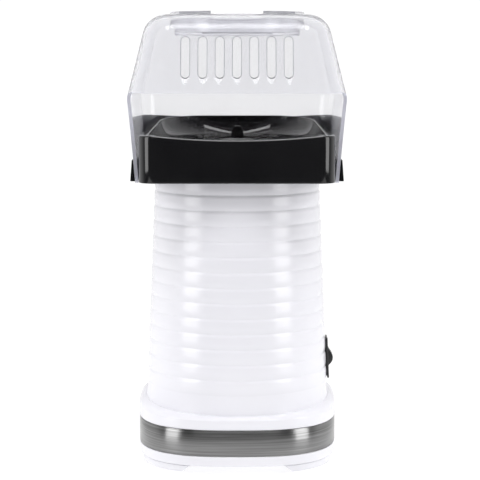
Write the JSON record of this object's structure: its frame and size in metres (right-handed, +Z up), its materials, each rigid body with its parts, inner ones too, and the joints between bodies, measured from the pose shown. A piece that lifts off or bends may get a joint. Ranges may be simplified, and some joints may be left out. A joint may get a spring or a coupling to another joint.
{
  "type": "hot-air popcorn maker",
  "caption": "Tall white ribbed hot-air popcorn maker with a black chute tray, clear slotted hood, lift-out clear measuring cup, steel band and side rocker switch.",
  "frame": {"origin": "bottom centre of the object's box, on the surface that the foot pads stand on", "axes": "+Z up, -Y towards the chute mouth at the front, +X towards the rocker switch"},
  "size_m": [0.1398, 0.1418, 0.2975],
  "materials": {
    "white_plastic": "gloss, cool white",
    "black_plastic": "high gloss black",
    "clear_plastic": "clear moulded plastic, polished",
    "brushed_band": "fine horizontal brushing",
    "rubber": "matte",
    "aluminium": "satin",
    "steel": "satin",
    "brass": "satin",
    "mica": "matte mica sheet",
    "resistance_wire": "dull",
    "silicone": "matte",
    "grey_plastic": "matte",
    "circuit_board": "matte",
    "lead_insulation": "matte braid"
  },
  "bodies": {
    "root": {"tower_housing": "white_plastic", "base_cover": "white_plastic", "chute_tray": "black_plastic", "switch_body": "black_plastic", "cord_gland": "black_plastic", "steel_band": "brushed_band", "foot_pad_1": "rubber", "foot_pad_2": "rubber", "foot_pad_3": "rubber", "foot_pad_4": "rubber", "popping_chamber": "aluminium", "case_screw_1": "steel", "case_screw_2": "steel", "case_screw_3": "steel", "case_screw_4": "steel", "tray_screw_1": "steel", "tray_screw_2": "steel", "tray_screw_3": "steel", "heater_shroud": "steel", "motor_can": "steel", "motor_plate": "steel", "motor_screw_1": "steel", "motor_screw_2": "steel", "switch_terminal_1": "brass", "switch_terminal_2": "brass", "thermal_fuse": "brass", "motor_bush_1": "brass", "motor_bush_2": "brass", "heater_former": "mica", "heating_coil": "resistance_wire", "chamber_gasket": "silicone", "thermostat": "grey_plastic", "motor_end_bell": "grey_plastic", "motor_magnet_1": "grey_plastic", "motor_magnet_2": "grey_plastic", "fan_duct": "grey_plastic", "rectifier_board": "circuit_board", "lead_1": "lead_insulation", "lead_2": "lead_insulation"},
    "hood": {"hood": "clear_plastic"},
    "cup": {"measuring_cup": "clear_plastic"},
    "rocker": {"switch_rocker": "black_plastic"},
    "fan": {"fan_impeller": "black_plastic", "fan_shaft": "steel", "motor_rotor": "resistance_wire"}
  },
  "joints": [
    {"name": "hood_lift", "type": "slide", "parent": "root", "child": "hood", "axis": [0, 0, 1], "range_m": [0, 0.05]},
    {"name": "cup_lift", "type": "slide", "parent": "hood", "child": "cup", "axis": [0, 0, 1], "range_m": [0, 0.03]},
    {"name": "rocker_tilt", "type": "hinge", "parent": "root", "child": "rocker", "pos_m": [0.05872, 0.00187, 0.06554], "axis": [0, 1, 0], "range_deg": [-14, 0]},
    {"name": "fan_spin", "type": "hinge", "parent": "root", "child": "fan", "pos_m": [0, 0.00187, 0.045], "axis": [0, 0, 1], "continuous": true}
  ]
}
